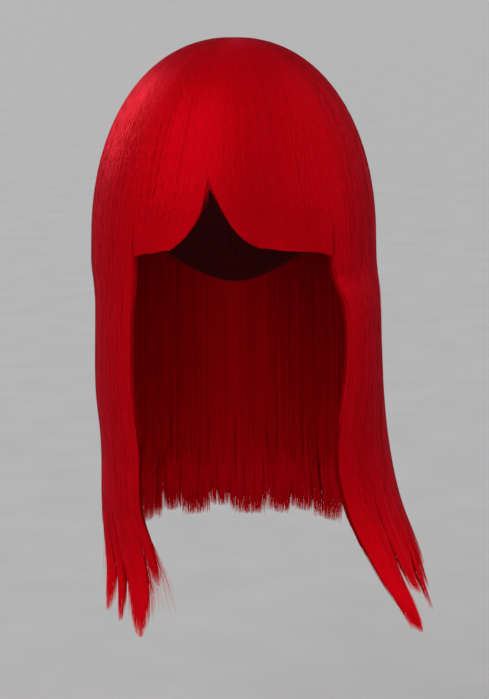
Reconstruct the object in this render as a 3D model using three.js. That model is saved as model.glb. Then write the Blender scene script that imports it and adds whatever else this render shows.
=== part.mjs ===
// A straight shoulder-length bob wig with a parted fringe: a thin cap under five panels of hair, which all
// flow from one whorl on the crown and end in locks.
// Millimetres, +Z up. The face looks along -Y, and left is -X, as seen by a viewer in front of the wig.
// The origin is the point inside the cap where the top of the head sits.
import * as THREE from "three";
import { mergeVertices } from "three/addons/utils/BufferGeometryUtils.js";

// Heights
const CROWN_TOP = 12;
const WIDEST_LEVEL = -120;

// Walls and gaps
const CAP_WALL = 2;
const SEAT_GAP = 1;
const PANEL_GAP = 0.5;
const LOCK_END_WALL = 1.6;

// A thinning lock ends in the outer part of its wall.
const END_LEAN = 0.75;

// A panel's long edges keep only a share of the wall, which is full again some degrees further in.
const EDGE_WALL_SHARE = 0.35;
const EDGE_TAPER = 14;

// The crown is a dome whose upright section is a superellipse of this power.
const CROWN_POWER = 2.18;

// Length of hair that hangs over one station below the widest level, about that of the crown's arc.
const STATION_LENGTH = 178;

// The panels start this far from the middle of the whorl, as a share of the way to the widest level.
const WHORL_STATION = 0.02;

// Azimuths in degrees: 0 is the middle of the face, 90 the right ear and 180 the nape.
const TEMPLE = 43.5;
const EAR = 90;
const NAPE = 180;

// Each lock is four columns wide: groove, shoulder, ridge, shoulder.
const LOCK_COLUMNS = 4;

const CAP_COLUMNS = 40;
const CAP_RINGS = 10;

const HAIR_COLOUR = 0xb30011;
const HAIR_ROUGHNESS = 0.42;
const CAP_COLOUR = 0x5e0a10;
const CAP_ROUGHNESS = 0.9;

// Inside of the cap: reach from the upright axis to each side, at falling heights.
const HEAD_SIDE = 74;
const HEAD_FRONT = 88;
const HEAD_BACK = 95;
const HEAD = [
  { z: WIDEST_LEVEL, left: HEAD_SIDE, right: HEAD_SIDE, front: HEAD_FRONT, back: HEAD_BACK },
  { z: -165, left: 70, right: 70, front: 86, back: 87 },
];

// Height of the cap's lower edge, from the hairline over the ear tab and the ear to the nape.
const CAP_EDGE = [
  { azimuth: 0, z: -48 },
  { azimuth: 45, z: -60 },
  { azimuth: 78, z: -122 },
  { azimuth: 108, z: -112 },
  { azimuth: NAPE, z: -158 },
];

// Inner and outer surface of the hanging hair: reach to each side, at falling heights.
const HAIR_SEAT = CAP_WALL + SEAT_GAP;
const SEAT_SIDE = HEAD_SIDE + HAIR_SEAT;
const SEAT_FRONT = HEAD_FRONT + HAIR_SEAT;
const SEAT_BACK = HEAD_BACK + HAIR_SEAT;
const HAIR_INSIDE = [
  { z: WIDEST_LEVEL, left: SEAT_SIDE, right: SEAT_SIDE, front: SEAT_FRONT, back: SEAT_BACK },
  { z: -190, left: 77, right: 80, front: 88, back: 95 },
  { z: -300, left: 78, right: 82, front: 86, back: 91 },
];
const HAIR_OUTSIDE = [
  { z: WIDEST_LEVEL, left: 92, right: 91.5, front: 97, back: 109 },
  { z: -132, left: 92, right: 91.8, front: 97, back: 109 },
  { z: -152, left: 89.5, right: 92.5, front: 97, back: 108 },
  { z: -215, left: 90, right: 93.5, front: 96, back: 105 },
  { z: -250, left: 87, right: 93.5, front: 95, back: 103 },
  { z: -300, left: 87.5, right: 93.5, front: 94, back: 101 },
];

// The gap in the fringe: azimuth of its two edges, which part at the top and sweep away to the sides.
const FRINGE_GAP = [
  { z: -67, left: -10.2, right: -10.2 },
  { z: -73, left: -10.8, right: -8.7 },
  { z: -81, left: -11.8, right: -6.2 },
  { z: -88, left: -12.9, right: -4 },
  { z: -95, left: -15, right: -1.4 },
  { z: -102, left: -18, right: 2.2 },
  { z: -107, left: -20.7, right: 6 },
  { z: -111, left: -24, right: 11.5 },
  { z: -116, left: -28, right: 17 },
];

// How the two long locks leave the plain hanging form: shifts of the edges by the face and by the ear.
const NO_SWAY = [{ z: WIDEST_LEVEL, faceX: 0, faceY: 0, earX: 0, earY: 0 }];
const LEFT_SWAY = [
  { z: -125, faceX: 0, faceY: 0, earX: 0, earY: 0 },
  { z: -155, faceX: -3.5, faceY: 0, earX: 0, earY: 0 },
  { z: -195, faceX: -3.5, faceY: 0, earX: 0, earY: 0 },
  { z: -235, faceX: -0.5, faceY: 0.5, earX: 0, earY: -0.5 },
  { z: -280, faceX: 0, faceY: 2.5, earX: 0, earY: -3.5 },
  { z: -300, faceX: 6, faceY: 4, earX: 0, earY: -6 },
  { z: -330, faceX: 14, faceY: 6, earX: 0, earY: -9.5 },
  { z: -370, faceX: 20, faceY: 8, earX: 0, earY: -12 },
];
const RIGHT_SWAY = [
  { z: -125, faceX: 0, faceY: 0, earX: 0, earY: 0 },
  { z: -150, faceX: 8, faceY: 0, earX: 1, earY: 0 },
  { z: -190, faceX: 8.5, faceY: 0, earX: 2, earY: -1 },
  { z: -245, faceX: 2, faceY: 2, earX: 7, earY: -3 },
  { z: -285, faceX: 10.2, faceY: 4, earX: 15.2, earY: -8 },
  { z: -325, faceX: 29.5, faceY: 6, earX: 30.5, earY: -14 },
  { z: -368, faceX: 52, faceY: 8, earX: 39, earY: -18 },
];

// Locks of each panel in the order of rising azimuth: share is a lock's part of the panel's width, tip the
// height of its end, notch the height of the gap before it, and ridge how far its grooves sink.
const BANGS_LEFT_LOCKS = [
  { share: 1, tip: -119, notch: -118, ridge: 1.6 },
  { share: 1, tip: -117, notch: -115, ridge: 1.2 },
  { share: 1.1, tip: -116, notch: -114, ridge: 1.2 },
  { share: 0.7, tip: -113, notch: -112, ridge: 0.9 },
];
const BANGS_RIGHT_LOCKS = [
  { share: 0.7, tip: -111, notch: -109, ridge: 0.9 },
  { share: 1.1, tip: -113, notch: -111, ridge: 1.2 },
  { share: 1, tip: -114, notch: -112, ridge: 1.2 },
  { share: 1.1, tip: -115, notch: -113, ridge: 1.2 },
  { share: 1, tip: -117, notch: -114, ridge: 1.2 },
  { share: 0.9, tip: -119, notch: -117, ridge: 1.6 },
];
const SIDE_LEFT_LOCKS = [
  { share: 0.35, tip: -303, notch: -298, ridge: 1.4 },
  { share: 1.1, tip: -359, notch: -306, ridge: 2.4 },
  { share: 0.6, tip: -363, notch: -334, ridge: 1.8 },
  { share: 1.35, tip: -370, notch: -337, ridge: 2.4 },
  { share: 0.5, tip: -332, notch: -316, ridge: 1.4 },
];
const SIDE_RIGHT_LOCKS = [
  { share: 1.7, tip: -364, notch: -357, ridge: 2.2 },
  { share: 1.3, tip: -342, notch: -323, ridge: 2.2 },
  { share: 0.8, tip: -356, notch: -336, ridge: 2.2 },
  { share: 0.8, tip: -344, notch: -331, ridge: 2 },
  { share: 0.5, tip: -330, notch: -324, ridge: 1.6 },
];
const BACK_LOCKS = [
  { share: 0.8, tip: -313, notch: -302, ridge: 1.8 },
  { share: 1.2, tip: -319, notch: -309, ridge: 2.6 },
  { share: 0.7, tip: -315, notch: -312, ridge: 1.6 },
  { share: 1.4, tip: -322, notch: -306, ridge: 2.8 },
  { share: 0.9, tip: -319, notch: -314, ridge: 2 },
  { share: 0.8, tip: -323, notch: -313, ridge: 2.2 },
  { share: 1.4, tip: -325, notch: -310, ridge: 3 },
  { share: 0.7, tip: -319, notch: -315, ridge: 1.8 },
  { share: 1.1, tip: -324, notch: -312, ridge: 2.6 },
  { share: 0.8, tip: -319, notch: -315, ridge: 1.8 },
  { share: 1.3, tip: -323, notch: -307, ridge: 2.8 },
  { share: 0.8, tip: -317, notch: -313, ridge: 1.8 },
  { share: 1.2, tip: -319, notch: -306, ridge: 2.4 },
  { share: 0.9, tip: -311, notch: -308, ridge: 2 },
];

// Rows of each kind of panel from the whorl to the tips, the power by which they crowd towards the tips, and
// the length over which the wall thins there.
const FRINGE_SHAPE = { rows: 14, crowding: 1.5, thinning: 22 };
const SIDE_SHAPE = { rows: 20, crowding: 1, thinning: 60 };
const BACK_SHAPE = { rows: 17, crowding: 1, thinning: 45 };

// Looks up a column of a table at some value of its key, on a smooth curve through the rows.
function lookUp(table, key, value, column) {
  const rising = table[0][key] <= table[table.length - 1][key];
  const rows = rising ? table : [...table].reverse();
  const last = rows.length - 1;
  if (value <= rows[0][key]) return rows[0][column];
  if (value >= rows[last][key]) return rows[last][column];
  const i = rows.findIndex((row) => row[key] > value) - 1;
  const slope = (k) => {
    if (k === 0 || k === last) return 0;
    return (rows[k + 1][column] - rows[k - 1][column]) / (rows[k + 1][key] - rows[k - 1][key]);
  };
  const span = rows[i + 1][key] - rows[i][key];
  const t = (value - rows[i][key]) / span;
  const rise = rows[i + 1][column] - rows[i][column];
  const bend = (1 - t) * (slope(i) * span - rise) + t * (rise - slope(i + 1) * span);
  return rows[i][column] + t * rise + t * (1 - t) * bend;
}

// A station runs from 0 at the whorl through 1 at the widest level, and on down the hanging hair.
function pointOnArc(station, top) {
  if (station >= 1) return { reach: 1, z: WIDEST_LEVEL - (station - 1) * STATION_LENGTH };
  const angle = (station * Math.PI) / 2;
  const rise = Math.cos(angle) ** (2 / CROWN_POWER);
  return { reach: Math.sin(angle) ** (2 / CROWN_POWER), z: WIDEST_LEVEL + (top - WIDEST_LEVEL) * rise };
}

function stationAtHeight(z, top) {
  if (z <= WIDEST_LEVEL) return 1 + (WIDEST_LEVEL - z) / STATION_LENGTH;
  const rise = (z - WIDEST_LEVEL) / (top - WIDEST_LEVEL);
  return Math.acos(rise ** (CROWN_POWER / 2)) / (Math.PI / 2);
}

// Point of a head-shaped surface whose reach to the four sides is in a table, moved out by offset.
function surfacePoint(table, top, azimuth, station, offset = 0) {
  const angle = THREE.MathUtils.degToRad(azimuth);
  const { reach, z } = pointOnArc(station, top);
  const side = lookUp(table, "z", z, Math.sin(angle) < 0 ? "left" : "right") + offset;
  const depth = lookUp(table, "z", z, Math.cos(angle) < 0 ? "back" : "front") + offset;
  return new THREE.Vector3(reach * side * Math.sin(angle), -reach * depth * Math.cos(angle), z);
}

const insidePoint = (azimuth, station) => surfacePoint(HAIR_INSIDE, HAIR_SEAT, azimuth, station);
const outsidePoint = (azimuth, station) => surfacePoint(HAIR_OUTSIDE, CROWN_TOP, azimuth, station);

// Moves each vertex of a flat blank to its place on the wig.
function drape(blank, place) {
  blank.deleteAttribute("normal");
  blank.deleteAttribute("uv");
  const geometry = mergeVertices(blank);
  const spots = geometry.getAttribute("position");
  for (let i = 0; i < spots.count; i += 1) {
    const spot = place(spots.getX(i), spots.getY(i), spots.getZ(i));
    spots.setXYZ(i, spot.x, spot.y, spot.z);
  }
  geometry.computeVertexNormals();
  return geometry;
}

function solid(name, geometry, color, roughness) {
  const mesh = new THREE.Mesh(geometry, new THREE.MeshStandardMaterial({ color, roughness, metalness: 0 }));
  mesh.name = name;
  return mesh;
}

// The cap is a round flat disc, one unit thick, draped over the head.
function makeCap() {
  const profile = [];
  for (let i = 0; i <= CAP_RINGS; i += 1) profile.push(new THREE.Vector2(i / CAP_RINGS, 0));
  for (let i = CAP_RINGS; i >= 0; i -= 1) profile.push(new THREE.Vector2(i / CAP_RINGS, 1));
  const place = (x, height, z) => {
    const azimuth = THREE.MathUtils.radToDeg(Math.atan2(x, z));
    const edge = stationAtHeight(lookUp(CAP_EDGE, "azimuth", Math.abs(azimuth), "z"), 0);
    const out = height * CAP_WALL;
    return surfacePoint(HEAD, out, azimuth, Math.hypot(x, z) * edge, out);
  };
  return solid("cap", drape(new THREE.LatheGeometry(profile, CAP_COLUMNS), place), CAP_COLOUR, CAP_ROUGHNESS);
}

// Where a share of a panel's width lies: its lock, how far across the lock, and its share of the azimuths.
function acrossLocks(locks, across) {
  const index = Math.min(Math.floor(across * locks.length), locks.length - 1);
  const within = across * locks.length - index;
  const total = locks.reduce((sum, lock) => sum + lock.share, 0);
  const before = locks.slice(0, index).reduce((sum, lock) => sum + lock.share, 0);
  const share = (before + locks[index].share * within) / total;
  return { index, within, share, hump: Math.sin(Math.PI * within) };
}

// Height at which the hair ends: the lock's tip at its ridge, the notches at its grooves.
function endHeight(locks, { index, hump, within }) {
  const next = locks[Math.min(index + 1, locks.length - 1)];
  const notch = THREE.MathUtils.lerp(locks[index].notch, next.notch, within);
  return THREE.MathUtils.lerp(notch, locks[index].tip, hump);
}

// 0 on a panel's two long edges, rising to 1 where its wall is full.
function fromEdge(azimuth, first, last) {
  return THREE.MathUtils.smoothstep(Math.min(azimuth - first, last - azimuth), 0, EDGE_TAPER);
}

// A panel is a flat blank, one unit wide, high and thick, draped from the whorl down to its locks' tips.
// edges(z) gives the azimuths of its two edges at a height, and earFirst says which edge lies by the ear.
function makePanel(name, locks, shape, edges, sway = NO_SWAY, earFirst = false) {
  const blank = new THREE.BoxGeometry(1, 1, 1, locks.length * LOCK_COLUMNS, shape.rows, 1);
  blank.translate(0.5, 0.5, 0.5);
  const place = (across, up, out) => {
    const lock = acrossLocks(locks, across);
    const end = stationAtHeight(endHeight(locks, lock), CROWN_TOP);
    const station = THREE.MathUtils.lerp(end, WHORL_STATION, up ** shape.crowding);
    const z = pointOnArc(station, CROWN_TOP).z;
    const [first, last] = edges(z);
    const azimuth = THREE.MathUtils.lerp(first, last, lock.share);

    // The outer face sinks into a groove on each side of a lock. The wall thins towards the lock's end, and
    // from inside towards the panel's long edges.
    const inside = insidePoint(azimuth, station);
    const outside = outsidePoint(azimuth, station);
    const wall = outside.distanceTo(inside);
    const groove = (1 - lock.hump) * locks[lock.index].ridge * Math.min(1, station);
    const fullness = THREE.MathUtils.smoothstep((end - station) * STATION_LENGTH, 0, shape.thinning);
    const edgeSink = (1 - EDGE_WALL_SHARE) * (1 - fromEdge(azimuth, first, last)) * wall;
    const full = wall - groove - edgeSink;
    const thinned = THREE.MathUtils.lerp(LOCK_END_WALL, full, fullness);
    const depth = edgeSink + END_LEAN * full + (out - END_LEAN) * thinned;
    const point = inside.lerp(outside, depth / wall);

    // Half the gap to the next panel is taken off along each edge.
    if (across === 0 || across === 1) {
      const along = outsidePoint(azimuth + 1, station).sub(outsidePoint(azimuth - 1, station));
      along.setZ(0).setLength(PANEL_GAP / 2);
      point.addScaledVector(along, across === 0 ? 1 : -1);
    }

    const earShare = earFirst ? 1 - lock.share : lock.share;
    const shift = (axis) => THREE.MathUtils.lerp(
      lookUp(sway, "z", z, `face${axis}`), lookUp(sway, "z", z, `ear${axis}`), earShare);
    return point.add(new THREE.Vector3(shift("X"), shift("Y"), 0));
  };
  return solid(name, drape(blank, place), HAIR_COLOUR, HAIR_ROUGHNESS);
}

const gapEdge = (z, side) => lookUp(FRINGE_GAP, "z", z, side);

const wig = new THREE.Group();
wig.add(
  makeCap(),
  makePanel("bangs_left", BANGS_LEFT_LOCKS, FRINGE_SHAPE, (z) => [-TEMPLE, gapEdge(z, "left")]),
  makePanel("bangs_right", BANGS_RIGHT_LOCKS, FRINGE_SHAPE, (z) => [gapEdge(z, "right"), TEMPLE]),
  makePanel("side_lock_left", SIDE_LEFT_LOCKS, SIDE_SHAPE, () => [-EAR, -TEMPLE], LEFT_SWAY, true),
  makePanel("side_lock_right", SIDE_RIGHT_LOCKS, SIDE_SHAPE, () => [TEMPLE, EAR], RIGHT_SWAY),
  makePanel("back_hair", BACK_LOCKS, BACK_SHAPE, () => [EAR, 2 * NAPE - EAR]),
);

export default wig;
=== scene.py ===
"""A straight shoulder-length red bob wig with a parted fringe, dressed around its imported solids.

The solids give the form: a thin cap under five panels of hair that flow from one whorl on the crown. Here each
panel becomes a smooth base under many strands of hair, and the cap becomes a knitted one with sewn rows.
"""
import math
from collections import namedtuple

import bpy
import numpy as np
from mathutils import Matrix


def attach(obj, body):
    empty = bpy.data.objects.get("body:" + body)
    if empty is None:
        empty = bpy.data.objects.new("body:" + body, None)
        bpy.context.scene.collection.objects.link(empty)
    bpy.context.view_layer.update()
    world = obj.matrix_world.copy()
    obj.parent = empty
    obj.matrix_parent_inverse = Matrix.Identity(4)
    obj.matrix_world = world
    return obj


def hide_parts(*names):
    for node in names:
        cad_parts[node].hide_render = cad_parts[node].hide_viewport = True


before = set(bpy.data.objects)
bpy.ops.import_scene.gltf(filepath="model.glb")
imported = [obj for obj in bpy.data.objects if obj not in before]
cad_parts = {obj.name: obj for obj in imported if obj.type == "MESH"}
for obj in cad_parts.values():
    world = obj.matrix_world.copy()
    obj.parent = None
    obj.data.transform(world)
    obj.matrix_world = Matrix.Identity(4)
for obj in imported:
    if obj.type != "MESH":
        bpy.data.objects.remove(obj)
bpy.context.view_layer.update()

# The form is worked out in millimetres, in the frame of the solids, and scaled to metres as it becomes a mesh.
MM = 0.001
SEED = 20261126

# Heights, walls and gaps
CROWN_TOP = 12
WIDEST_LEVEL = -120
CAP_WALL = 2
HAIR_SEAT = 3
LOCK_END_WALL = 1.6
END_LEAN = 0.75
EDGE_WALL_SHARE = 0.35
EDGE_TAPER = 14
GROOVE_SHARE_ABOVE = 0.04
CROWN_POWER = 2.18
STATION_LENGTH = 178
WHORL_STATION = 0.02

# Azimuths in degrees: 0 is the middle of the face, 90 the right ear and 180 the nape.
TEMPLE = 43.5
EAR = 90
NAPE = 180


def table(columns, *rows):
    """A table with named columns."""
    return [dict(zip(columns.split(), row)) for row in rows]


# Reach of the cap's inside and of the hair's two faces to each side, at falling heights.
HEAD = table(
    "z left right front back",
    (WIDEST_LEVEL, 74, 74, 88, 95),
    (-165, 70, 70, 86, 87),
)
HAIR_INSIDE = table(
    "z left right front back",
    (WIDEST_LEVEL, 77, 77, 91, 98),
    (-190, 77, 80, 88, 95),
    (-300, 78, 82, 86, 91),
)
HAIR_OUTSIDE = table(
    "z left right front back",
    (WIDEST_LEVEL, 92, 91.5, 97, 109),
    (-132, 92, 91.8, 97, 109),
    (-152, 89.5, 92.5, 97, 108),
    (-215, 90, 93.5, 96, 105),
    (-250, 87, 93.5, 95, 103),
    (-300, 87.5, 93.5, 94, 101),
)
# Height of the cap's edge, by the azimuth to either side.
CAP_EDGE = table(
    "azimuth z",
    (0, -48),
    (45, -60),
    (78, -122),
    (108, -112),
    (NAPE, -158),
)
# Azimuths of the two sides of the fringe's gap.
FRINGE_GAP = table(
    "z left right",
    (-67, -10.2, -10.2),
    (-73, -10.8, -8.7),
    (-81, -11.8, -6.2),
    (-88, -12.9, -4),
    (-95, -15, -1.4),
    (-102, -18, 2.2),
    (-107, -20.7, 6),
    (-111, -24, 11.5),
    (-116, -28, 17),
)
# How far the side locks lean off their straight hang, at the edge next to the face and at the one over the ear.
LEFT_SWAY = table(
    "z face_x face_y ear_x ear_y",
    (-125, 0, 0, 0, 0),
    (-155, -3.5, 0, 0, 0),
    (-195, -3.5, 0, 0, 0),
    (-235, -0.5, 0.5, 0, -0.5),
    (-280, 0, 2.5, 0, -3.5),
    (-300, 6, 4, 0, -6),
    (-330, 14, 6, 0, -9.5),
    (-370, 16.5, 8, -3.5, -12),
)
RIGHT_SWAY = table(
    "z face_x face_y ear_x ear_y",
    (-125, 0, 0, 0, 0),
    (-150, 8, 0, 1, 0),
    (-190, 8.5, 0, 2, -1),
    (-245, 2, 2, 7, -3),
    (-285, 10.2, 4, 15.2, -8),
    (-325, 29.5, 6, 30.5, -14),
    (-368, 52, 8, 39, -18),
)
# Locks from a panel's first edge on: share of its width, heights of the tip and of the notch before it, and depth
# of the grooves beside it.
LOCK_COLUMNS = "share tip notch ridge"
BANGS_LEFT_LOCKS = table(
    LOCK_COLUMNS,
    (1, -119, -118, 1.6),
    (1, -117, -115, 1.2),
    (1.1, -116, -114, 1.2),
    (0.7, -113, -112, 0.9),
)
BANGS_RIGHT_LOCKS = table(
    LOCK_COLUMNS,
    (0.7, -111, -109, 0.9),
    (1.1, -113, -111, 1.2),
    (1, -114, -112, 1.2),
    (1.1, -115, -113, 1.2),
    (1, -117, -114, 1.2),
    (0.9, -119, -117, 1.6),
)
SIDE_LEFT_LOCKS = table(
    LOCK_COLUMNS,
    (0.35, -303, -298, 1.4),
    (1.1, -359, -306, 2.4),
    (0.6, -363, -334, 1.8),
    (1.35, -370, -337, 2.4),
    (0.5, -332, -316, 1.4),
)
SIDE_RIGHT_LOCKS = table(
    LOCK_COLUMNS,
    (1.7, -364, -357, 2.2),
    (1.3, -342, -323, 2.2),
    (0.8, -356, -336, 2.2),
    (0.8, -344, -331, 2),
    (0.5, -330, -324, 1.6),
)
BACK_LOCKS = table(
    LOCK_COLUMNS,
    (0.8, -313, -302, 1.8),
    (1.2, -319, -309, 2.6),
    (0.7, -315, -312, 1.6),
    (1.4, -322, -306, 2.8),
    (0.9, -319, -314, 2),
    (0.8, -323, -313, 2.2),
    (1.4, -325, -310, 3),
    (0.7, -319, -315, 1.8),
    (1.1, -324, -312, 2.6),
    (0.8, -319, -315, 1.8),
    (1.3, -323, -307, 2.8),
    (0.8, -317, -313, 1.8),
    (1.2, -319, -306, 2.4),
    (0.9, -311, -308, 2),
)


def smooth_step(value):
    t = np.clip(value, 0, 1)
    return t * t * (3 - 2 * t)


def mix(a, b, share):
    return a + (b - a) * share


def look_up(rows, key, value, column):
    """A table's column at some values of its key, on a smooth curve through the rows."""
    rows = sorted(rows, key=lambda row: row[key])
    keys = np.array([row[key] for row in rows], float)
    values = np.array([row[column] for row in rows], float)
    slopes = np.zeros_like(values)
    slopes[1:-1] = (values[2:] - values[:-2]) / (keys[2:] - keys[:-2])
    value = np.clip(value, keys[0], keys[-1])
    i = np.clip(np.searchsorted(keys, value, side="right") - 1, 0, len(keys) - 2)
    span = keys[i + 1] - keys[i]
    t = (value - keys[i]) / span
    rise = values[i + 1] - values[i]
    bend = (1 - t) * (slopes[i] * span - rise) + t * (rise - slopes[i + 1] * span)
    return values[i] + t * rise + t * (1 - t) * bend


def arc_point(station, top):
    """Reach and height at a station: 0 at the whorl, 1 at the widest level, and on down the hanging hair."""
    angle = np.clip(station, 0, 1) * math.pi / 2
    reach = np.sin(angle) ** (2 / CROWN_POWER)
    rise = np.maximum(np.cos(angle), 0) ** (2 / CROWN_POWER)
    hang = np.maximum(station - 1, 0) * STATION_LENGTH
    return reach, WIDEST_LEVEL + (top - WIDEST_LEVEL) * rise - hang


def station_at_height(z, top):
    rise = np.clip((z - WIDEST_LEVEL) / (top - WIDEST_LEVEL), 0, 1)
    on_crown = np.arccos(rise ** (CROWN_POWER / 2)) / (math.pi / 2)
    return on_crown + np.maximum(WIDEST_LEVEL - z, 0) / STATION_LENGTH


def surface_point(rows, top, azimuth, station, offset=0):
    """Points of a head-shaped surface whose reach to the four sides is in a table, moved out by offset."""
    angle = np.radians(azimuth)
    reach, z = arc_point(station, top)
    side = np.where(np.sin(angle) < 0, look_up(rows, "z", z, "left"), look_up(rows, "z", z, "right")) + offset
    depth = np.where(np.cos(angle) < 0, look_up(rows, "z", z, "back"), look_up(rows, "z", z, "front")) + offset
    return np.stack(np.broadcast_arrays(reach * side * np.sin(angle), -reach * depth * np.cos(angle), z), -1)


class Panel:
    """One panel of hair: where a share of its width, a station and a depth in its wall lie in space.

    edges gives the azimuths of its two edges at a height, and spill how far its strands pass them at a station, to
    mingle with the next panel's. width, thinning, taper and parting are lengths: its width, and how far up from its
    end its wall thins, its strands taper and its grooves open. A panel with no parting ends in an even line. sway
    moves its face edge and its ear edge at falling heights, and ear_first says that the ear edge is its first one.
    """

    def __init__(self, node, locks, edges, spill, width, thinning, taper, parting=None, sway=None, ear_first=False):
        self.node = node
        self.locks = locks
        self.edges = edges
        self.spill = spill
        self.width = width
        self.thinning = thinning
        self.taper = taper
        self.parting = parting
        self.sway = sway
        self.ear_first = ear_first
        shares = np.array([lock["share"] for lock in locks], float)
        self.lock_edges = np.concatenate(([0], np.cumsum(shares) / shares.sum()))
        self.lock_middles = (self.lock_edges[1:] + self.lock_edges[:-1]) / 2
        self.tips = np.array([lock["tip"] for lock in locks], float)
        self.notches = np.array([lock["notch"] for lock in locks] + [locks[-1]["notch"]], float)
        self.ridges = np.array([lock["ridge"] for lock in locks], float)

    def lock_at(self, share):
        share = np.clip(share, 0, 1)
        index = np.clip(np.searchsorted(self.lock_edges, share, side="right") - 1, 0, len(self.locks) - 1)
        within = (share - self.lock_edges[index]) / (self.lock_edges[index + 1] - self.lock_edges[index])
        return index, within, np.sin(math.pi * within)

    def end_station(self, share):
        if not self.parting:
            line = (self.tips + self.notches[:-1]) / 2
            return station_at_height(np.interp(share, self.lock_middles, line), CROWN_TOP)
        index, within, hump = self.lock_at(share)
        notch = mix(self.notches[index], self.notches[index + 1], within)
        return station_at_height(mix(notch, self.tips[index], hump), CROWN_TOP)

    def strand_end(self, share, fill):
        """Where strands end: at the panel's end, or a share of the way on from there to the lock's tip."""
        if not self.parting:
            return self.end_station(share)
        tip = station_at_height(self.tips[self.lock_at(share)[0]], CROWN_TOP)
        return mix(self.end_station(share), tip, fill)

    def degrees(self, station):
        """Azimuths of the two edges at some stations."""
        return self.edges(arc_point(station, CROWN_TOP)[1])

    def spread(self, share, station):
        """Shares moved past the panel's edges by its spill."""
        first, last = self.spill(station)
        return share + (share * last - (1 - share) * first) / self.width

    def place(self, share, station, out):
        """Points at shares of the width, stations and depths: 0 is the wall's inner face and 1 its outer face."""
        index, _, hump = self.lock_at(share)
        first, last = self.degrees(station)
        azimuth = mix(first, last, share)
        inside = surface_point(HAIR_INSIDE, HAIR_SEAT, azimuth, station)
        outside = surface_point(HAIR_OUTSIDE, CROWN_TOP, azimuth, station)
        wall = np.linalg.norm(outside - inside, axis=-1)
        to_end = (self.end_station(share) - station) * STATION_LENGTH
        parted = mix(1, GROOVE_SHARE_ABOVE, smooth_step(to_end / self.parting)) if self.parting else GROOVE_SHARE_ABOVE
        groove = (1 - hump) * self.ridges[index] * np.minimum(1, station) * parted
        from_edge = smooth_step(np.minimum(azimuth - first, last - azimuth) / EDGE_TAPER)
        edge_sink = (1 - EDGE_WALL_SHARE) * (1 - from_edge) * wall
        full = wall - groove - edge_sink
        thinned = mix(LOCK_END_WALL, full, smooth_step(to_end / self.thinning))
        depth = edge_sink + END_LEAN * full + (out - END_LEAN) * thinned
        points = inside + (outside - inside) * (depth / wall)[..., None]
        if self.sway:
            points = points + self.shift(share, arc_point(station, CROWN_TOP)[1])
        return points

    def shift(self, share, z):
        ear_share = 1 - share if self.ear_first else share
        x = mix(look_up(self.sway, "z", z, "face_x"), look_up(self.sway, "z", z, "ear_x"), ear_share)
        y = mix(look_up(self.sway, "z", z, "face_y"), look_up(self.sway, "z", z, "ear_y"), ear_share)
        return np.stack((x, y, np.zeros_like(x)), -1)


SEAM_SPILL = 1.2
GAP_TOP = station_at_height(np.float64(FRINGE_GAP[0]["z"]), CROWN_TOP)
GAP_FADE = 0.08


def gap_edge(z, side):
    return look_up(FRINGE_GAP, "z", z, side)


def over_gap(station):
    """Spill at the fringe's gap: the two sides mingle above it and part where it opens."""
    return SEAM_SPILL * smooth_step((GAP_TOP - station) / GAP_FADE)


def both_seams(station):
    """Spill at the edges of a panel that meets its neighbours all the way down."""
    return SEAM_SPILL, SEAM_SPILL


BANGS_LEFT = Panel(
    "bangs_left", BANGS_LEFT_LOCKS, edges=lambda z: (-TEMPLE, gap_edge(z, "left")),
    spill=lambda station: (SEAM_SPILL, over_gap(station)), width=52, thinning=22, taper=7)
BANGS_RIGHT = Panel(
    "bangs_right", BANGS_RIGHT_LOCKS, edges=lambda z: (gap_edge(z, "right"), TEMPLE),
    spill=lambda station: (over_gap(station), SEAM_SPILL), width=88, thinning=22, taper=7)
SIDE_LEFT = Panel(
    "side_lock_left", SIDE_LEFT_LOCKS, edges=lambda z: (-EAR, -TEMPLE), spill=both_seams,
    width=72, thinning=60, taper=24, parting=20, sway=LEFT_SWAY, ear_first=True)
SIDE_RIGHT = Panel(
    "side_lock_right", SIDE_RIGHT_LOCKS, edges=lambda z: (TEMPLE, EAR), spill=both_seams,
    width=72, thinning=60, taper=24, parting=20, sway=RIGHT_SWAY)
BACK = Panel(
    "back_hair", BACK_LOCKS, edges=lambda z: (EAR, 2 * NAPE - EAR), spill=both_seams,
    width=320, thinning=45, taper=16, parting=25)

# Meshes

UV_NAME = "OFBake"


def add_piece(name, node, points, faces, uv, material):
    """A smooth mesh of triangles from points in millimetres, which rides on the wig and stands for a node."""
    mesh = bpy.data.meshes.new(name)
    points = np.asarray(points, np.float32).reshape(-1, 3) * MM
    faces = np.asarray(faces, np.int32).reshape(-1, 3)
    mesh.vertices.add(len(points))
    mesh.vertices.foreach_set("co", points.ravel())
    mesh.loops.add(faces.size)
    mesh.loops.foreach_set("vertex_index", faces.ravel())
    mesh.polygons.add(len(faces))
    mesh.polygons.foreach_set("loop_start", np.arange(0, faces.size, 3, dtype=np.int32))
    layer = mesh.uv_layers.new(name=UV_NAME)
    layer.data.foreach_set("uv", np.asarray(uv, np.float32).reshape(-1, 2)[faces.ravel()].ravel())
    mesh.update(calc_edges=True)
    mesh.validate()
    mesh.shade_smooth()
    mesh.materials.append(material)
    piece = bpy.data.objects.new(name, mesh)
    bpy.context.scene.collection.objects.link(piece)
    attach(piece, "root")
    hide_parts(node)


def grid_faces(columns, rows, start=0, flip=False):
    """Triangles of a grid of points that runs down its columns first."""
    corner = start + np.arange(columns)[:, None] * (rows + 1) + np.arange(rows)
    a, b, c, d = corner, corner + rows + 1, corner + rows + 2, corner + 1
    order = (a, b, c, a, c, d) if flip else (a, c, b, a, d, c)
    return np.stack(order, -1).reshape(-1, 3)


# Edges of a grid of points, and whether the rim there is turned over.
LONG_EDGES = ((np.s_[0, :], True), (np.s_[-1, :], False))
TOP_EDGE = (np.s_[:, 0], False)
END_EDGE = (np.s_[:, -1], True)
INNER_HALF_OF_MAP = (0.5, 0)


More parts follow.
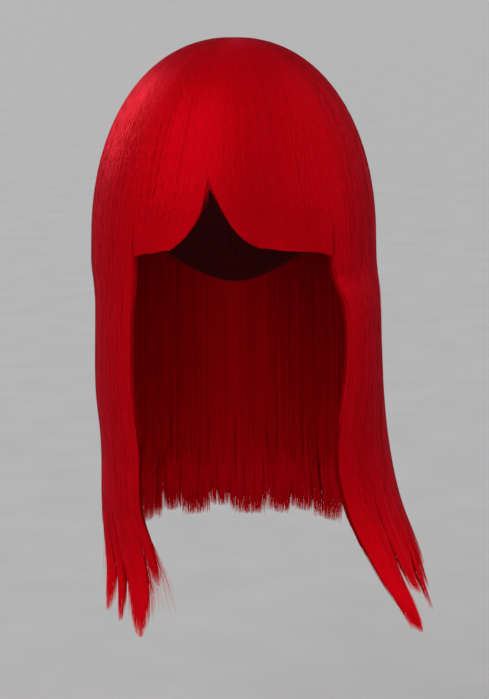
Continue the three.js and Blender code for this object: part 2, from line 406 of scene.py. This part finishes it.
def add_shell(name, node, outer, inner, across, along, edges, material):
    """A wall between two grids of points, closed along some edges by rims that don't soften its shading."""
    shape = outer.shape[:2]
    columns, rows = shape[0] - 1, shape[1] - 1
    across, along = np.broadcast_arrays(across, along)
    points = [outer.reshape(-1, 3), inner.reshape(-1, 3)]
    outer_uv = np.stack((across / 2, along), -1)
    uv = [outer_uv.reshape(-1, 2), (outer_uv + INNER_HALF_OF_MAP).reshape(-1, 2)]
    faces = [grid_faces(columns, rows), grid_faces(columns, rows, across.size, True)]
    start = 2 * across.size
    for line, flip in edges:
        rim = np.stack((outer[line], inner[line]), 1)
        points.append(rim.reshape(-1, 3))
        uv.append(np.repeat(outer_uv[line], 2, axis=0))
        faces.append(grid_faces(len(rim) - 1, 1, start, flip))
        start += 2 * len(rim)
    add_piece(name, node, np.concatenate(points), np.concatenate(faces), np.concatenate(uv), material)


# The whorl: a small dimple that the hair leaves in a twist

WHORL_DIMPLE = 0.06
WHORL_REACH = 0.07
WHORL_TWIST = 40
WHORL_TWIST_REACH = 0.05


def dimple(station):
    """How much deeper in the wall the hair lies at the whorl."""
    return WHORL_DIMPLE * (1 - smooth_step(station / WHORL_REACH))


# Bases: a closed wall a little inside each panel, which the strands cover

BASE_OUT = 0.87
BASE_IN = 0.12
BASE_END_OUT = 0.55
BASE_END_IN = 0.45
BASE_EDGE = 0.3
BASE_COLUMNS_PER_LOCK = 6


def add_base(panel, rng, rows, short, ragged, wedge, material):
    """A panel's base. short is how far it ends before the panel does, ragged how uneven its end is, and wedge how long
    its thinning part is, in millimetres."""
    inset = BASE_EDGE / panel.width
    share = np.linspace(inset, 1 - inset, BASE_COLUMNS_PER_LOCK * len(panel.locks) + 1)[:, None]
    end = panel.end_station(share) - (short + ragged * rng.uniform(-1, 1, share.shape)) / STATION_LENGTH
    along = np.linspace(0, 1, rows + 1)[None, :]
    station = mix(WHORL_STATION, end, along)
    share = np.broadcast_to(share, station.shape)
    full = smooth_step((end - station) * STATION_LENGTH / wedge)
    outer = panel.place(share, station, mix(BASE_END_OUT, BASE_OUT, full) - dimple(station))
    inner = panel.place(share, station, mix(BASE_END_IN, BASE_IN, full))
    edges = (*LONG_EDGES, TOP_EDGE, END_EDGE)
    add_shell(panel.node + "_base", panel.node, outer, inner, share, along, edges, material)


# Strands: flat ribbons of hair

LONGEST_STATION = 2.45
SHORTEST_STRAND = 0.1
STRAND_TILT = 0.1
SHEET_STEP = 3
STEP_SHIFT = 0.45
END_CROWDING = 0.25
UV_MARGIN = 0.01
STRAND_U_WIDTH = 0.002

# Half widths in millimetres, and the shares of them that are left on strays, at the whorl and at the tips.
FINE_RADIUS = (0.11, 0.20)
FULL_RADIUS = (0.15, 0.25)
WISP_RADIUS = (0.07, 0.12)
STRAY_RADIUS_SHARE = 0.6
WHORL_RADIUS_SHARE = 0.3
RADIUS_GROWTH = 1.1
TIP_RADIUS_SHARE = 0.15
TIP_POWER = 0.7

# Clumps: their width, where in it they draw together, how much, how deep they lie and how even their tone is.
CLUMP_WIDTH = 4.0
CLUMP_MIDDLE = (0.3, 0.7)
CLUMP_PULL = (0.03, 0.15)
CLUMP_DEPTH = (0, 0.015)
CLUMP_TONE_SPREAD = 0.006

# Lengths over which strands calm down towards a panel's edge, gather into locks and fan out.
EDGE_CALM = 5
GATHER_LENGTH = 50
FAN_LENGTH = 45

# Waves: their size, in millimetres or as a share of the wall, and their least and greatest number in a station.
CLUMP_WAVE = (0.8, 0.5, 1.2)
STRAND_WAVE = (0.4, 0.5, 1.6)
STRAY_WAVE = (1.6, 0.4, 1.1)
STRAY_LIFT = (0.05, 0.4, 1.0)
WAVE_STATIONS = 3
WAVE_STEPS = 100

# Depths as shares of the wall, and the stations over which roots rise from it.
WALL_MIDDLE = 0.5
DEPTH_SCATTER = 0.01
ROOT_SINK = 0.25
ROOT_RISE = 0.16

Bundle = namedtuple("Bundle", "points across radius tone facing station")


def unit(vectors):
    return vectors / np.linalg.norm(vectors, axis=-1, keepdims=True)


def inside_map(share):
    """A share of the UV map that keeps clear of its border."""
    return UV_MARGIN + (1 - 2 * UV_MARGIN) * share


def waves(rng, count, wave, station):
    """Slow waves along strands: a random size, length and phase for each."""
    size, least, greatest = wave
    size = size * rng.normal(size=(count, 1))
    rate = rng.uniform(least, greatest, (count, 1))
    phase = rng.uniform(0, 2 * math.pi, (count, 1))
    return size * np.sin(2 * math.pi * rate * station + phase)


def uneven_steps(rng, count, segments):
    """Steps from 0 to 1 along each strand, with inner points moved a little so that strands don't bend in line."""
    steps = np.tile(np.linspace(0, 1, segments + 1), (count, 1))
    steps[:, 1:-1] += STEP_SHIFT * rng.uniform(-1, 1, (count, 1)) / segments
    return steps


def strand_stations(rng, root, end, crown, hanging):
    """Stations of strands' points: some segments over the crown, the rest down the hang, closer at its two ends."""
    on_crown = mix(root, np.minimum(1, end), uneven_steps(rng, len(root), crown)) if crown else root
    if not hanging:
        return on_crown
    turn = 2 * math.pi * uneven_steps(rng, len(root), hanging)
    down = (turn - END_CROWDING * np.sin(turn)) / (2 * math.pi)
    return np.concatenate((on_crown[:, :-1] if crown else on_crown[:, :0], mix(np.maximum(1, root), end, down)), 1)


def grow_strands(panel, rng, share, root, end, segments, out, gather, radius, strays=0, fan=0, flare=0):
    """A bundle of strands, from their shares of the panel's width and their first and last stations.

    segments are those over the crown and down the hang, out the depth in the wall that strands lie at, gather how far
    their tips draw into locks, strays the share that wander, fan how far tips part sideways in millimetres, and flare
    how far they lift, as a share of the wall.
    """
    count = len(share)
    share, root, end, out, gather, fan, flare = (
        np.broadcast_to(value, count)[:, None] for value in (share, root, end, out, gather, fan, flare))
    root = np.minimum(root, end - SHORTEST_STRAND)
    station = strand_stations(rng, root, end, *segments)
    to_tip = (end - station) * STATION_LENGTH
    near_tip = smooth_step(1 - to_tip / FAN_LENGTH)

    # Strands draw together into clumps, and near the tips into locks.
    clumps = max(1, round(panel.width / CLUMP_WIDTH))
    clump = np.clip((share * clumps).astype(int), 0, clumps - 1)
    clump_middle = (np.arange(clumps) + rng.uniform(*CLUMP_MIDDLE, clumps))[clump] / clumps
    clump_pull = rng.uniform(*CLUMP_PULL, clumps)[clump]
    line = mix(share, clump_middle, clump_pull * smooth_step((station - root) / (end - root)))
    lock_middle = panel.lock_middles[panel.lock_at(share)[0]]
    line = mix(line, lock_middle, gather * smooth_step(1 - to_tip / GATHER_LENGTH))

    # Clumps sway a little as one, strands a little on their own, strays more, and all less at the panel's edges.
    stray = rng.random((count, 1)) < strays
    calm = smooth_step(np.minimum(share, 1 - share) * panel.width / EDGE_CALM)
    freedom = np.clip(station - root, 0, 1) * calm
    levels = WAVE_STATIONS * WAVE_STEPS
    clump_wave = waves(rng, clumps, CLUMP_WAVE, np.linspace(0, WAVE_STATIONS, levels + 1)[None, :])
    level = np.clip(station * WAVE_STEPS, 0, levels).astype(int)
    sideways = clump_wave[clump, level] + waves(rng, count, STRAND_WAVE, station)
    sideways = sideways + np.where(stray, waves(rng, count, STRAY_WAVE, station), 0)
    first, last = panel.degrees(station)
    twist = WHORL_TWIST * np.exp(-station / WHORL_TWIST_REACH) / (last - first)
    line = panel.spread(line, station) + twist + (sideways * freedom + fan * near_tip) / panel.width

    # Roots rise from within the wall, clumps lie a little higher or lower, and strays lift off.
    outward = np.where(out > WALL_MIDDLE, 1, -1)
    depth = out + DEPTH_SCATTER * rng.normal(size=(count, 1)) - outward * rng.uniform(*CLUMP_DEPTH, clumps)[clump]
    sunk = ROOT_SINK * (1 - smooth_step((station - root) / ROOT_RISE)) * (root > WHORL_REACH)
    lift = np.where(stray, np.abs(waves(rng, count, STRAY_LIFT, station)), 0) * freedom
    depth = depth + outward * (lift - sunk + flare * near_tip) - dimple(station)

    points = panel.place(line, station, depth)
    beside = SHEET_STEP / panel.width
    across = panel.place(line - beside, station, depth) - panel.place(line + beside, station, depth)
    thickness = rng.uniform(*radius, (count, 1)) * np.where(stray, STRAY_RADIUS_SHARE, 1)
    from_whorl = np.clip(WHORL_RADIUS_SHARE + RADIUS_GROWTH * arc_point(station, CROWN_TOP)[0], 0, 1)
    tip = np.clip(to_tip / panel.taper, TIP_RADIUS_SHARE, 1) ** TIP_POWER
    tone = rng.random(clumps)[clump] + CLUMP_TONE_SPREAD * rng.normal(size=(count, 1))
    return Bundle(points, across, thickness * from_whorl * tip, inside_map(tone % 1), outward, station)


def add_strands(name, panel, rng, material, bundles):
    """One mesh of flat strands that lie, slightly tilted, in the sheet of their panel."""
    all_points, all_faces, all_uv, start = [], [], [], 0
    for hair in bundles:
        count, rings = hair.radius.shape
        along = unit(np.gradient(hair.points, axis=1))
        across = unit(hair.across - np.sum(hair.across * along, -1, keepdims=True) * along)
        up = np.cross(across, along)
        tilt = STRAND_TILT * rng.normal(size=(count, 1, 1))
        half = (hair.radius * hair.facing)[..., None] * (np.cos(tilt) * across + np.sin(tilt) * up)
        all_points.append(np.stack((hair.points - half, hair.points + half), 2).reshape(-1, 3))

        a = start + 2 * (np.arange(count)[:, None] * rings + np.arange(rings - 1))
        b, c, d = a + 1, a + 3, a + 2
        all_faces.append(np.stack((a, b, c, a, c, d), -1).reshape(-1, 3))
        u = hair.tone[:, :, None] + np.array((-STRAND_U_WIDTH, STRAND_U_WIDTH))
        v = inside_map(hair.station / LONGEST_STATION)[:, :, None]
        all_uv.append(np.stack(np.broadcast_arrays(u, v), -1).reshape(-1, 2))
        start += count * rings * 2
    add_piece(name, panel.node, np.concatenate(all_points), np.concatenate(all_faces),
              np.concatenate(all_uv), material)


def even_shares(rng, count, low=0, high=1):
    """Evenly spaced shares of a panel's width, each moved a little at random, in a random order."""
    return low + (high - low) * rng.permutation((np.arange(count) + rng.random(count)) / count)


def tips_at(panel, rng, share, most, power, fill):
    """Last stations: most strands stop near the panel's end, fewer up to the most millimetres before it."""
    short = most * rng.random(len(share)) ** power
    return panel.strand_end(share, rng.uniform(*fill, len(share))) - short / STATION_LENGTH


# Layers of the outer hair: range of the first stations, share of the strands, and segments over the crown.
OUTER_LAYERS = table(
    "first last share crown",
    (0.001, 0.03, 0.34, 16),
    (0.08, 0.4, 0.28, 12),
    (0.4, 0.8, 0.38, 7),
)
OUTER_DEPTH = 1.0


def outer_hair(panel, rng, count, hanging, ends, gather, radius, strays):
    """Bundles of the outer hair, one for each layer. ends holds what tips_at asks for."""
    bundles = []
    for layer in OUTER_LAYERS:
        share = even_shares(rng, round(count * layer["share"]))
        root = rng.uniform(layer["first"], layer["last"], len(share))
        end = tips_at(panel, rng, share, **ends)
        drawn = rng.uniform(0, 2 * gather, len(share))
        segments = (layer["crown"], hanging)
        bundles.append(grow_strands(panel, rng, share, root, end, segments, OUTER_DEPTH, drawn, radius, strays))
    return bundles


def inner_hair(panel, rng, count, roots, segments, ends, out, gather):
    """A bundle of hair inside the wall, from a range of first stations."""
    share = even_shares(rng, count)
    root = rng.uniform(*roots, count)
    end = tips_at(panel, rng, share, **ends)
    drawn = rng.uniform(0, 2 * gather, count)
    return grow_strands(panel, rng, share, root, end, segments, out, drawn, FULL_RADIUS)


# Materials

NOISE_DETAIL = 3
NOISE_ROUGHNESS = 0.55


def new_material(name):
    material = bpy.data.materials.new(name)
    material.use_nodes = True
    nodes = material.node_tree.nodes
    return material, nodes, material.node_tree.links, nodes["Principled BSDF"]


def uv_map(nodes):
    node = nodes.new("ShaderNodeUVMap")
    node.uv_map = UV_NAME
    return node.outputs["UV"]


def uv_noise(nodes, links, scale, detail=NOISE_DETAIL):
    """Noise over the UV map, stretched to the scale (across, along)."""
    mapping = nodes.new("ShaderNodeMapping")
    mapping.inputs["Scale"].default_value = (*scale, 1)
    noise = nodes.new("ShaderNodeTexNoise")
    noise.inputs["Scale"].default_value = 1
    noise.inputs["Detail"].default_value = detail
    noise.inputs["Roughness"].default_value = NOISE_ROUGHNESS
    links.new(uv_map(nodes), mapping.inputs["Vector"])
    links.new(mapping.outputs["Vector"], noise.inputs["Vector"])
    return noise.outputs["Fac"]


def ramp(nodes, links, source, positions, colours):
    node = nodes.new("ShaderNodeValToRGB")
    links.new(source, node.inputs["Fac"])
    elements = node.color_ramp.elements
    while len(elements) < len(positions):
        elements.new(0.5)
    for element, position, colour in zip(elements, positions, colours):
        element.position = position
        element.color = (*colour, 1)
    return node.outputs["Color"]


def map_range(nodes, links, source, to_range, from_range=(0, 1)):
    node = nodes.new("ShaderNodeMapRange")
    node.inputs["From Min"].default_value, node.inputs["From Max"].default_value = from_range
    node.inputs["To Min"].default_value, node.inputs["To Max"].default_value = to_range
    links.new(source, node.inputs["Value"])
    return node.outputs["Result"]


def bump(nodes, links, shader, height, strength, distance):
    node = nodes.new("ShaderNodeBump")
    node.inputs["Strength"].default_value = strength
    node.inputs["Distance"].default_value = distance
    links.new(height, node.inputs["Height"])
    links.new(node.outputs["Normal"], shader.inputs["Normal"])


# Hair: red tones, a tinted gloss, and painted light that makes the hair brighter towards its tips, far down the UV
# map, where light falls on the lower locks.
HAIR_TONES = ((0.55, 0.0006, 0.0045), (0.60, 0.0008, 0.0060), (0.66, 0.0012, 0.0090))
GLOSS_TINT = (1.0, 0.2, 0.55, 1)
HAIR_METALLIC = 0.42
HAIR_SPECULAR = 0.015
TIP_PAINTED_LIGHT = 1.38
TIPS_ON_MAP = (0.74, 0.92)

STRAND_TONE_SCALE = (240, 2.5)
STRAND_TONE_STOPS = (0.3, 0.5, 0.7)
STRAND_GRAIN_SCALE = (300, 40)
STRAND_GRAIN_DETAIL = 2
STRAND_ROUGHNESS = (0.36, 0.48)
STRAND_BUMP = (0.15, 0.00005)

BASE_STREAKS_PER_MM = 2.2
BASE_STREAKS_ALONG = 2.5
BASE_TONE_STOPS = (0.28, 0.5, 0.72)
BASE_FINE_PER_MM = 3.2
BASE_FINE_ALONG = 1.5
BASE_ROUGHNESS = (0.38, 0.48)
BASE_BUMP = (0.3, 0.0004)
BASE_ANISOTROPY = 0.3


def set_gloss(shader):
    shader.inputs["Metallic"].default_value = HAIR_METALLIC
    shader.inputs["Specular IOR Level"].default_value = HAIR_SPECULAR
    shader.inputs["Specular Tint"].default_value = GLOSS_TINT


def painted_light_towards_tips(nodes, links):
    """Painted light: how much brighter the hair is painted towards its tips, by how far down the UV map it lies."""
    parts = nodes.new("ShaderNodeSeparateXYZ")
    links.new(uv_map(nodes), parts.inputs["Vector"])
    return map_range(nodes, links, parts.outputs["Y"], (1, TIP_PAINTED_LIGHT), TIPS_ON_MAP)


def strand_material():
    material, nodes, links, shader = new_material("hair_strand")
    tone = uv_noise(nodes, links, STRAND_TONE_SCALE)
    # The hair's tones are painted brighter towards the tips: painted light on the lower locks.
    painted_tip_light = nodes.new("ShaderNodeVectorMath")
    painted_tip_light.operation = "SCALE"
    links.new(ramp(nodes, links, tone, STRAND_TONE_STOPS, HAIR_TONES), painted_tip_light.inputs["Vector"])
    links.new(painted_light_towards_tips(nodes, links), painted_tip_light.inputs["Scale"])
    links.new(painted_tip_light.outputs["Vector"], shader.inputs["Base Color"])
    grain = uv_noise(nodes, links, STRAND_GRAIN_SCALE, STRAND_GRAIN_DETAIL)
    links.new(map_range(nodes, links, grain, STRAND_ROUGHNESS), shader.inputs["Roughness"])
    bump(nodes, links, shader, grain, *STRAND_BUMP)
    set_gloss(shader)
    return material


def base_material(panel):
    material, nodes, links, shader = new_material(panel.node + "_base")
    streaks = uv_noise(nodes, links, (panel.width * BASE_STREAKS_PER_MM, BASE_STREAKS_ALONG))
    links.new(ramp(nodes, links, streaks, BASE_TONE_STOPS, HAIR_TONES), shader.inputs["Base Color"])
    links.new(map_range(nodes, links, streaks, BASE_ROUGHNESS), shader.inputs["Roughness"])
    fine = uv_noise(nodes, links, (panel.width * BASE_FINE_PER_MM, BASE_FINE_ALONG))
    bump(nodes, links, shader, fine, *BASE_BUMP)
    tangent = nodes.new("ShaderNodeTangent")
    tangent.direction_type = "UV_MAP"
    tangent.uv_map = UV_NAME
    links.new(tangent.outputs["Tangent"], shader.inputs["Tangent"])
    shader.inputs["Anisotropic"].default_value = BASE_ANISOTROPY
    set_gloss(shader)
    return material


KNIT_REPEATS = (("X", 100), ("Y", 42))
KNIT_UNEVENNESS = 0.6
KNIT_STOPS = (0.2, 0.6, 0.95)
KNIT_TONES = ((0.05, 0.002, 0.004), (0.11, 0.004, 0.008), (0.17, 0.006, 0.012))
KNIT_ROUGHNESS = (0.75, 0.92)
KNIT_BUMP = (0.7, 0.0005)
KNIT_SPECULAR = 0.25


def cap_material():
    material, nodes, links, shader = new_material("cap_net")
    heights = []
    for direction, repeats in KNIT_REPEATS:
        wave = nodes.new("ShaderNodeTexWave")
        wave.bands_direction = direction
        wave.inputs["Scale"].default_value = repeats
        wave.inputs["Distortion"].default_value = KNIT_UNEVENNESS
        links.new(uv_map(nodes), wave.inputs["Vector"])
        heights.append(wave.outputs["Fac"])
    knit = nodes.new("ShaderNodeMath")
    knit.operation = "MAXIMUM"
    links.new(heights[0], knit.inputs[0])
    links.new(heights[1], knit.inputs[1])
    links.new(ramp(nodes, links, knit.outputs["Value"], KNIT_STOPS, KNIT_TONES), shader.inputs["Base Color"])
    links.new(map_range(nodes, links, heights[0], KNIT_ROUGHNESS), shader.inputs["Roughness"])
    bump(nodes, links, shader, knit.outputs["Value"], *KNIT_BUMP)
    shader.inputs["Specular IOR Level"].default_value = KNIT_SPECULAR
    return material


FLOOR_NOISE_SCALE = 14
FLOOR_STOPS = (0.3, 0.7)
FLOOR_TONES = ((0.5, 0.5, 0.5), (0.53, 0.53, 0.53))
FLOOR_ROUGHNESS = 0.85


def floor_material():
    material, nodes, links, shader = new_material("floor_pale")
    coordinates = nodes.new("ShaderNodeTexCoord")
    noise = nodes.new("ShaderNodeTexNoise")
    noise.inputs["Scale"].default_value = FLOOR_NOISE_SCALE
    links.new(coordinates.outputs["Object"], noise.inputs["Vector"])
    links.new(ramp(nodes, links, noise.outputs["Fac"], FLOOR_STOPS, FLOOR_TONES), shader.inputs["Base Color"])
    shader.inputs["Roughness"].default_value = FLOOR_ROUGHNESS
    return material


# The cap: a knitted dome with a thicker hem and raised sewn rows inside

CAP_COLUMNS = 120
CAP_RINGS = 48
CAP_TOP_SHARE = 0.0005
CAP_ROWS_SPACING = 12
CAP_ROW_HEIGHT = 0.5
CAP_ROW_SHARPNESS = 8
CAP_HEM_WIDTH = 7
CAP_HEM_STEP = 1.5
CAP_HEM_HEIGHT = 0.8


def add_cap(material):
    azimuth = np.linspace(-NAPE, NAPE, CAP_COLUMNS + 1)[:, None]
    edge = station_at_height(look_up(CAP_EDGE, "azimuth", np.abs(azimuth), "z"), 0)
    along = np.linspace(CAP_TOP_SHARE, 1, CAP_RINGS + 1)[None, :]
    station = edge * along
    from_edge = (edge - station) * STATION_LENGTH
    row = np.abs(np.sin(math.pi * station * STATION_LENGTH / CAP_ROWS_SPACING)) ** CAP_ROW_SHARPNESS
    hem = smooth_step((CAP_HEM_WIDTH - from_edge) / CAP_HEM_STEP)
    relief = np.maximum(CAP_ROW_HEIGHT * row, CAP_HEM_HEIGHT * hem)
    azimuth = np.broadcast_to(azimuth, station.shape)
    inner = surface_point(HEAD, 0, azimuth, station)
    outer = surface_point(HEAD, CAP_WALL, azimuth, station, CAP_WALL)
    inner = inner - unit(outer - inner) * relief[..., None]
    across = np.linspace(0, 1, CAP_COLUMNS + 1)[:, None]
    add_shell("cap_knit", "cap", outer, inner, across, along, (TOP_EDGE, END_EDGE), material)


# Dressing

rng = np.random.default_rng(SEED)
STRAND = strand_material()

# What tips_at asks for, in each kind of panel.
FRINGE_ENDS = {"most": 5, "power": 2, "fill": (0, 0.7)}
SIDE_OUTER_ENDS = {"most": 52, "power": 1.7, "fill": (0, 0.7)}
SIDE_INNER_ENDS = {"most": 52, "power": 1.8, "fill": (0, 0.7)}
BACK_ENDS = {"most": 26, "power": 1.7, "fill": (0.1, 1)}

# Depths of the hair on the wall's inner face, and of the hair between its faces.
INSIDE_DEPTH = 0.08
FRINGE_DEPTHS = (0.2, 0.9)
LOCK_DEPTHS = (0.15, 0.9)
WISP_DEPTHS = (0.4, 0.9)


def dress_fringe(panel, outer, inner, middle, wisps):
    """A side of the fringe, with numbers of strands on its outer face, on its inner face and between them."""
    add_base(panel, rng, rows=40, short=6, ragged=1.5, wedge=16, material=base_material(panel))
    bundles = outer_hair(
        panel, rng, outer, hanging=0, ends=FRINGE_ENDS, gather=0.02, radius=FINE_RADIUS, strays=0.006)
    bundles += [
        inner_hair(panel, rng, inner, roots=(0.4, 0.5), segments=(6, 0), ends=FRINGE_ENDS, out=INSIDE_DEPTH,
                   gather=0.02),
        inner_hair(panel, rng, middle, roots=(0.65, 0.7), segments=(4, 0), ends=FRINGE_ENDS,
                   out=rng.uniform(*FRINGE_DEPTHS, middle), gather=0.02),
        wisps,
    ]
    add_strands(panel.node + "_strands", panel, rng, STRAND, bundles)


def dress_side(panel, outer, inner, middle, wisps):
    """A side lock, with the same three numbers of strands."""
    add_base(panel, rng, rows=60, short=28, ragged=5, wedge=40, material=base_material(panel))
    bundles = outer_hair(
        panel, rng, outer, hanging=18, ends=SIDE_OUTER_ENDS, gather=0.25, radius=FINE_RADIUS, strays=0.01)
    add_strands(panel.node + "_strands", panel, rng, STRAND, bundles)
    bundles = [
        inner_hair(panel, rng, inner, roots=(0.75, 0.95), segments=(2, 14), ends=SIDE_INNER_ENDS, out=INSIDE_DEPTH,
                   gather=0.3),
        inner_hair(panel, rng, middle, roots=(1.5, 1.8), segments=(0, 9), ends=SIDE_INNER_ENDS,
                   out=rng.uniform(*LOCK_DEPTHS, middle), gather=0.3),
        wisps,
    ]
    add_strands(panel.node + "_inner_strands", panel, rng, STRAND, bundles)


def dress_back(panel, outer, inner, middle):
    """The back hair, with the same three numbers of strands."""
    add_base(panel, rng, rows=48, short=22, ragged=7, wedge=45, material=base_material(panel))
    upper, between, lower = outer_hair(
        panel, rng, outer, hanging=6, ends=BACK_ENDS, gather=0.05, radius=FULL_RADIUS, strays=0.008)
    add_strands(panel.node + "_long_strands", panel, rng, STRAND, [upper, between])
    add_strands(panel.node + "_short_strands", panel, rng, STRAND, [lower])
    bundles = [
        inner_hair(panel, rng, inner, roots=(0.86, 0.98), segments=(1, 8), ends=BACK_ENDS, out=INSIDE_DEPTH,
                   gather=0.05),
        inner_hair(panel, rng, middle, roots=(1.5, 1.8), segments=(0, 5), ends=BACK_ENDS,
                   out=rng.uniform(*LOCK_DEPTHS, middle), gather=0.05),
    ]
    add_strands(panel.node + "_inner_strands", panel, rng, STRAND, bundles)


def loose_wisps(panel, count, shares, roots, heights, segments, fan, flare):
    """Thin hairs that leave a panel near its tips, between two shares of the width and two heights."""
    share = even_shares(rng, count, *shares)
    end = station_at_height(rng.uniform(*heights, count), CROWN_TOP)
    return grow_strands(
        panel, rng, share, rng.uniform(*roots, count), end, segments, out=rng.uniform(*WISP_DEPTHS, count), gather=0,
        radius=WISP_RADIUS, fan=rng.uniform(*fan, count), flare=rng.uniform(*flare, count))


def gap_wisps(panel, shares, fan):
    """Thin hairs that lean into the top of the fringe's gap."""
    return loose_wisps(
        panel, count=8, shares=shares, roots=(0.3, 0.4), heights=(-90, -74), segments=(9, 0), fan=fan, flare=(0, 0))


def lock_wisps(panel, count, heights, fan, flare):
    """Thin hairs that leave a side lock at its last tips."""
    return loose_wisps(
        panel, count, shares=(0.86, 1), roots=(1.3, 1.6), heights=heights, segments=(0, 8), fan=fan, flare=flare)


add_cap(cap_material())
dress_fringe(BANGS_LEFT, outer=2600, inner=500, middle=450,
             wisps=gap_wisps(BANGS_LEFT, shares=(0.95, 1), fan=(0.8, 4)))
dress_fringe(BANGS_RIGHT, outer=4300, inner=800, middle=750,
             wisps=gap_wisps(BANGS_RIGHT, shares=(0, 0.03), fan=(-4, -0.8)))
dress_side(SIDE_LEFT, outer=2800, inner=800, middle=900,
           wisps=lock_wisps(SIDE_LEFT, count=46, heights=(-352, -322), fan=(0, 9), flare=(0, 0)))
dress_side(SIDE_RIGHT, outer=2800, inner=800, middle=900,
           wisps=lock_wisps(SIDE_RIGHT, count=40, heights=(-345, -318), fan=(0, 3), flare=(0, 0.8)))
dress_back(BACK, outer=6000, inner=2200, middle=3600)

# Floor, light and camera

FLOOR_LEVEL = -0.52
FLOOR_RADIUS = 60
FLOOR_VERTICES = 96
PALE_GREY = 0.34

# Soft distant lights: the direction that each stands in, its strength, and the angle that it spreads over.
LIGHTS = table(
    "name towards strength angle",
    ("key", (-0.63, -0.48, 0.61), 1.42, 70),
    ("fill", (0.97, 0.05, 0.22), 1.2, 100),
    ("crown", (-0.57, 0.73, 0.37), 0.68, 14),
    ("rim", (-0.67, 0.72, 0.19), 0.48, 12),
)


def add_floor():
    bpy.ops.mesh.primitive_circle_add(
        vertices=FLOOR_VERTICES, radius=FLOOR_RADIUS, fill_type="NGON", location=(0, 0, FLOOR_LEVEL))
    floor = bpy.context.object
    floor.name = "floor"
    floor.data.materials.append(floor_material())


def aim_from(towards):
    """The turn of a lamp that stands in some direction and shines back along it."""
    x, y, z = towards
    return (math.atan2(math.hypot(x, y), z), 0, math.atan2(x, -y))


def add_sun(name, towards, strength, angle):
    light = bpy.data.lights.new(name, "SUN")
    light.energy = strength
    light.angle = math.radians(angle)
    lamp = bpy.data.objects.new(name, light)
    bpy.context.scene.collection.objects.link(lamp)
    lamp.rotation_euler = aim_from(towards)


def add_world():
    world = bpy.data.worlds.new("studio")
    world.use_nodes = True
    background = world.node_tree.nodes["Background"]
    background.inputs["Color"].default_value = (PALE_GREY, PALE_GREY, PALE_GREY, 1)
    background.inputs["Strength"].default_value = 1
    bpy.context.scene.world = world


IMAGE_HEIGHT = 699
FOCAL_LENGTH_PIXELS = 2344
CAMERA_PLACE = (0.0067, -1.5, 0.087)
CAMERA_PITCH = -10.45
SENSOR = 36


def add_camera():
    data = bpy.data.cameras.new("camera")
    data.sensor_width = SENSOR
    data.lens = FOCAL_LENGTH_PIXELS / IMAGE_HEIGHT * SENSOR
    camera = bpy.data.objects.new("camera", data)
    bpy.context.scene.collection.objects.link(camera)
    camera.location = CAMERA_PLACE
    camera.rotation_euler = (math.radians(90 + CAMERA_PITCH), 0, 0)
    bpy.context.scene.camera = camera


add_floor()
add_world()
for light in LIGHTS:
    add_sun(**light)
add_camera()
bpy.context.scene.view_settings.view_transform = "Standard"
